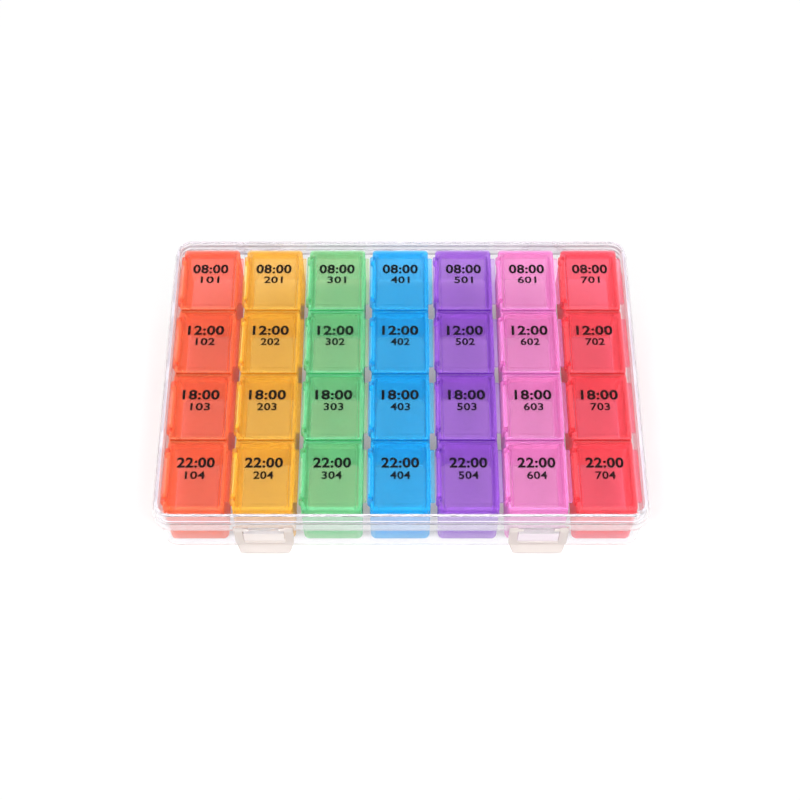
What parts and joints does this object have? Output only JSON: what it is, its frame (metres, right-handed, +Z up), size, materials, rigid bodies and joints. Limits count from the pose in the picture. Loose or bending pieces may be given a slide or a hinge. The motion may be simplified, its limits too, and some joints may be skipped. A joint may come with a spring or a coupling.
{
  "type": "weekly pill organizer",
  "caption": "Clear hinged case with snap latches that holds coloured day trays, each divided into pill compartments under their own hinged snap lids.",
  "frame": {"origin": "centre of the flat underside of the case base", "axes": "+X to the right as seen from the latched front, -Y towards the front, +Z up"},
  "size_m": [0.2206, 0.1605, 0.034],
  "materials": {
    "clear_pp": "clear moulded polypropylene, glossy",
    "red_orange_pp": "translucent tinted polypropylene, glossy",
    "orange_pp": "translucent tinted polypropylene, glossy",
    "green_pp": "translucent tinted polypropylene, glossy",
    "blue_pp": "translucent tinted polypropylene, glossy",
    "violet_pp": "translucent tinted polypropylene, glossy",
    "pink_pp": "translucent tinted polypropylene, glossy",
    "red_pp": "translucent tinted polypropylene, glossy"
  },
  "bodies": {
    "case": {"case_base": "clear_pp", "monday_tray": "red_orange_pp", "tuesday_tray": "orange_pp", "wednesday_tray": "green_pp", "thursday_tray": "blue_pp", "friday_tray": "violet_pp", "saturday_tray": "pink_pp", "sunday_tray": "red_pp"},
    "case_lid": {"case_lid": "clear_pp"},
    "left_latch": {"left_latch": "clear_pp"},
    "right_latch": {"right_latch": "clear_pp"},
    "monday_morning_lid": {"monday_morning_lid": "red_orange_pp"},
    "monday_noon_lid": {"monday_noon_lid": "red_orange_pp"},
    "monday_evening_lid": {"monday_evening_lid": "red_orange_pp"},
    "monday_bedtime_lid": {"monday_bedtime_lid": "red_orange_pp"},
    "tuesday_morning_lid": {"tuesday_morning_lid": "orange_pp"},
    "tuesday_noon_lid": {"tuesday_noon_lid": "orange_pp"},
    "tuesday_evening_lid": {"tuesday_evening_lid": "orange_pp"},
    "tuesday_bedtime_lid": {"tuesday_bedtime_lid": "orange_pp"},
    "wednesday_morning_lid": {"wednesday_morning_lid": "green_pp"},
    "wednesday_noon_lid": {"wednesday_noon_lid": "green_pp"},
    "wednesday_evening_lid": {"wednesday_evening_lid": "green_pp"},
    "wednesday_bedtime_lid": {"wednesday_bedtime_lid": "green_pp"},
    "thursday_morning_lid": {"thursday_morning_lid": "blue_pp"},
    "thursday_noon_lid": {"thursday_noon_lid": "blue_pp"},
    "thursday_evening_lid": {"thursday_evening_lid": "blue_pp"},
    "thursday_bedtime_lid": {"thursday_bedtime_lid": "blue_pp"},
    "friday_morning_lid": {"friday_morning_lid": "violet_pp"},
    "friday_noon_lid": {"friday_noon_lid": "violet_pp"},
    "friday_evening_lid": {"friday_evening_lid": "violet_pp"},
    "friday_bedtime_lid": {"friday_bedtime_lid": "violet_pp"},
    "saturday_morning_lid": {"saturday_morning_lid": "pink_pp"},
    "saturday_noon_lid": {"saturday_noon_lid": "pink_pp"},
    "saturday_evening_lid": {"saturday_evening_lid": "pink_pp"},
    "saturday_bedtime_lid": {"saturday_bedtime_lid": "pink_pp"},
    "sunday_morning_lid": {"sunday_morning_lid": "red_pp"},
    "sunday_noon_lid": {"sunday_noon_lid": "red_pp"},
    "sunday_evening_lid": {"sunday_evening_lid": "red_pp"},
    "sunday_bedtime_lid": {"sunday_bedtime_lid": "red_pp"}
  },
  "joints": [
    {"name": "case_lid_hinge", "type": "hinge", "parent": "case", "child": "case_lid", "pos_m": [0, 0.0779, 0.021], "axis": [-1, 0, 0], "range_deg": [0, 180]},
    {"name": "left_latch_pivot", "type": "hinge", "parent": "case_lid", "child": "left_latch", "pos_m": [-0.061, -0.0754, 0.02305], "axis": [-1, 0, 0], "range_deg": [0, 110]},
    {"name": "right_latch_pivot", "type": "hinge", "parent": "case_lid", "child": "right_latch", "pos_m": [0.061, -0.0754, 0.02305], "axis": [-1, 0, 0], "range_deg": [0, 110]},
    {"name": "monday_morning_lid_hinge", "type": "hinge", "parent": "case", "child": "monday_morning_lid", "pos_m": [-0.1053, 0.05315, 0.02825], "axis": [0, -1, 0], "range_deg": [0, 90]},
    {"name": "monday_noon_lid_hinge", "type": "hinge", "parent": "case", "child": "monday_noon_lid", "pos_m": [-0.1053, 0.01825, 0.02825], "axis": [0, -1, 0], "range_deg": [0, 90]},
    {"name": "monday_evening_lid_hinge", "type": "hinge", "parent": "case", "child": "monday_evening_lid", "pos_m": [-0.1053, -0.01665, 0.02825], "axis": [0, -1, 0], "range_deg": [0, 90]},
    {"name": "monday_bedtime_lid_hinge", "type": "hinge", "parent": "case", "child": "monday_bedtime_lid", "pos_m": [-0.1053, -0.05155, 0.02825], "axis": [0, -1, 0], "range_deg": [0, 90]},
    {"name": "tuesday_morning_lid_hinge", "type": "hinge", "parent": "case", "child": "tuesday_morning_lid", "pos_m": [-0.0748, 0.05315, 0.02825], "axis": [0, -1, 0], "range_deg": [0, 90]},
    {"name": "tuesday_noon_lid_hinge", "type": "hinge", "parent": "case", "child": "tuesday_noon_lid", "pos_m": [-0.0748, 0.01825, 0.02825], "axis": [0, -1, 0], "range_deg": [0, 90]},
    {"name": "tuesday_evening_lid_hinge", "type": "hinge", "parent": "case", "child": "tuesday_evening_lid", "pos_m": [-0.0748, -0.01665, 0.02825], "axis": [0, -1, 0], "range_deg": [0, 90]},
    {"name": "tuesday_bedtime_lid_hinge", "type": "hinge", "parent": "case", "child": "tuesday_bedtime_lid", "pos_m": [-0.0748, -0.05155, 0.02825], "axis": [0, -1, 0], "range_deg": [0, 90]},
    {"name": "wednesday_morning_lid_hinge", "type": "hinge", "parent": "case", "child": "wednesday_morning_lid", "pos_m": [-0.0443, 0.05315, 0.02825], "axis": [0, -1, 0], "range_deg": [0, 90]},
    {"name": "wednesday_noon_lid_hinge", "type": "hinge", "parent": "case", "child": "wednesday_noon_lid", "pos_m": [-0.0443, 0.01825, 0.02825], "axis": [0, -1, 0], "range_deg": [0, 90]},
    {"name": "wednesday_evening_lid_hinge", "type": "hinge", "parent": "case", "child": "wednesday_evening_lid", "pos_m": [-0.0443, -0.01665, 0.02825], "axis": [0, -1, 0], "range_deg": [0, 90]},
    {"name": "wednesday_bedtime_lid_hinge", "type": "hinge", "parent": "case", "child": "wednesday_bedtime_lid", "pos_m": [-0.0443, -0.05155, 0.02825], "axis": [0, -1, 0], "range_deg": [0, 90]},
    {"name": "thursday_morning_lid_hinge", "type": "hinge", "parent": "case", "child": "thursday_morning_lid", "pos_m": [-0.0138, 0.05315, 0.02825], "axis": [0, -1, 0], "range_deg": [0, 90]},
    {"name": "thursday_noon_lid_hinge", "type": "hinge", "parent": "case", "child": "thursday_noon_lid", "pos_m": [-0.0138, 0.01825, 0.02825], "axis": [0, -1, 0], "range_deg": [0, 90]},
    {"name": "thursday_evening_lid_hinge", "type": "hinge", "parent": "case", "child": "thursday_evening_lid", "pos_m": [-0.0138, -0.01665, 0.02825], "axis": [0, -1, 0], "range_deg": [0, 90]},
    {"name": "thursday_bedtime_lid_hinge", "type": "hinge", "parent": "case", "child": "thursday_bedtime_lid", "pos_m": [-0.0138, -0.05155, 0.02825], "axis": [0, -1, 0], "range_deg": [0, 90]},
    {"name": "friday_morning_lid_hinge", "type": "hinge", "parent": "case", "child": "friday_morning_lid", "pos_m": [0.0167, 0.05315, 0.02825], "axis": [0, -1, 0], "range_deg": [0, 90]},
    {"name": "friday_noon_lid_hinge", "type": "hinge", "parent": "case", "child": "friday_noon_lid", "pos_m": [0.0167, 0.01825, 0.02825], "axis": [0, -1, 0], "range_deg": [0, 90]},
    {"name": "friday_evening_lid_hinge", "type": "hinge", "parent": "case", "child": "friday_evening_lid", "pos_m": [0.0167, -0.01665, 0.02825], "axis": [0, -1, 0], "range_deg": [0, 90]},
    {"name": "friday_bedtime_lid_hinge", "type": "hinge", "parent": "case", "child": "friday_bedtime_lid", "pos_m": [0.0167, -0.05155, 0.02825], "axis": [0, -1, 0], "range_deg": [0, 90]},
    {"name": "saturday_morning_lid_hinge", "type": "hinge", "parent": "case", "child": "saturday_morning_lid", "pos_m": [0.0472, 0.05315, 0.02825], "axis": [0, -1, 0], "range_deg": [0, 90]},
    {"name": "saturday_noon_lid_hinge", "type": "hinge", "parent": "case", "child": "saturday_noon_lid", "pos_m": [0.0472, 0.01825, 0.02825], "axis": [0, -1, 0], "range_deg": [0, 90]},
    {"name": "saturday_evening_lid_hinge", "type": "hinge", "parent": "case", "child": "saturday_evening_lid", "pos_m": [0.0472, -0.01665, 0.02825], "axis": [0, -1, 0], "range_deg": [0, 90]},
    {"name": "saturday_bedtime_lid_hinge", "type": "hinge", "parent": "case", "child": "saturday_bedtime_lid", "pos_m": [0.0472, -0.05155, 0.02825], "axis": [0, -1, 0], "range_deg": [0, 90]},
    {"name": "sunday_morning_lid_hinge", "type": "hinge", "parent": "case", "child": "sunday_morning_lid", "pos_m": [0.0777, 0.05315, 0.02825], "axis": [0, -1, 0], "range_deg": [0, 90]},
    {"name": "sunday_noon_lid_hinge", "type": "hinge", "parent": "case", "child": "sunday_noon_lid", "pos_m": [0.0777, 0.01825, 0.02825], "axis": [0, -1, 0], "range_deg": [0, 90]},
    {"name": "sunday_evening_lid_hinge", "type": "hinge", "parent": "case", "child": "sunday_evening_lid", "pos_m": [0.0777, -0.01665, 0.02825], "axis": [0, -1, 0], "range_deg": [0, 90]},
    {"name": "sunday_bedtime_lid_hinge", "type": "hinge", "parent": "case", "child": "sunday_bedtime_lid", "pos_m": [0.0777, -0.05155, 0.02825], "axis": [0, -1, 0], "range_deg": [0, 90]}
  ],
  "couplings": [
    {"joint": "monday_morning_lid_hinge", "follows": "case_lid_hinge", "ratio": 0.5},
    {"joint": "monday_noon_lid_hinge", "follows": "case_lid_hinge", "ratio": 0.5},
    {"joint": "monday_evening_lid_hinge", "follows": "case_lid_hinge", "ratio": 0.5},
    {"joint": "monday_bedtime_lid_hinge", "follows": "case_lid_hinge", "ratio": 0.5},
    {"joint": "tuesday_morning_lid_hinge", "follows": "case_lid_hinge", "ratio": 0.5},
    {"joint": "tuesday_noon_lid_hinge", "follows": "case_lid_hinge", "ratio": 0.5},
    {"joint": "tuesday_evening_lid_hinge", "follows": "case_lid_hinge", "ratio": 0.5},
    {"joint": "tuesday_bedtime_lid_hinge", "follows": "case_lid_hinge", "ratio": 0.5},
    {"joint": "wednesday_morning_lid_hinge", "follows": "case_lid_hinge", "ratio": 0.5},
    {"joint": "wednesday_noon_lid_hinge", "follows": "case_lid_hinge", "ratio": 0.5},
    {"joint": "wednesday_evening_lid_hinge", "follows": "case_lid_hinge", "ratio": 0.5},
    {"joint": "wednesday_bedtime_lid_hinge", "follows": "case_lid_hinge", "ratio": 0.5},
    {"joint": "thursday_morning_lid_hinge", "follows": "case_lid_hinge", "ratio": 0.5},
    {"joint": "thursday_noon_lid_hinge", "follows": "case_lid_hinge", "ratio": 0.5},
    {"joint": "thursday_evening_lid_hinge", "follows": "case_lid_hinge", "ratio": 0.5},
    {"joint": "thursday_bedtime_lid_hinge", "follows": "case_lid_hinge", "ratio": 0.5},
    {"joint": "friday_morning_lid_hinge", "follows": "case_lid_hinge", "ratio": 0.5},
    {"joint": "friday_noon_lid_hinge", "follows": "case_lid_hinge", "ratio": 0.5},
    {"joint": "friday_evening_lid_hinge", "follows": "case_lid_hinge", "ratio": 0.5},
    {"joint": "friday_bedtime_lid_hinge", "follows": "case_lid_hinge", "ratio": 0.5},
    {"joint": "saturday_morning_lid_hinge", "follows": "case_lid_hinge", "ratio": 0.5},
    {"joint": "saturday_noon_lid_hinge", "follows": "case_lid_hinge", "ratio": 0.5},
    {"joint": "saturday_evening_lid_hinge", "follows": "case_lid_hinge", "ratio": 0.5},
    {"joint": "saturday_bedtime_lid_hinge", "follows": "case_lid_hinge", "ratio": 0.5},
    {"joint": "sunday_morning_lid_hinge", "follows": "case_lid_hinge", "ratio": 0.5},
    {"joint": "sunday_noon_lid_hinge", "follows": "case_lid_hinge", "ratio": 0.5},
    {"joint": "sunday_evening_lid_hinge", "follows": "case_lid_hinge", "ratio": 0.5},
    {"joint": "sunday_bedtime_lid_hinge", "follows": "case_lid_hinge", "ratio": 0.5}
  ]
}
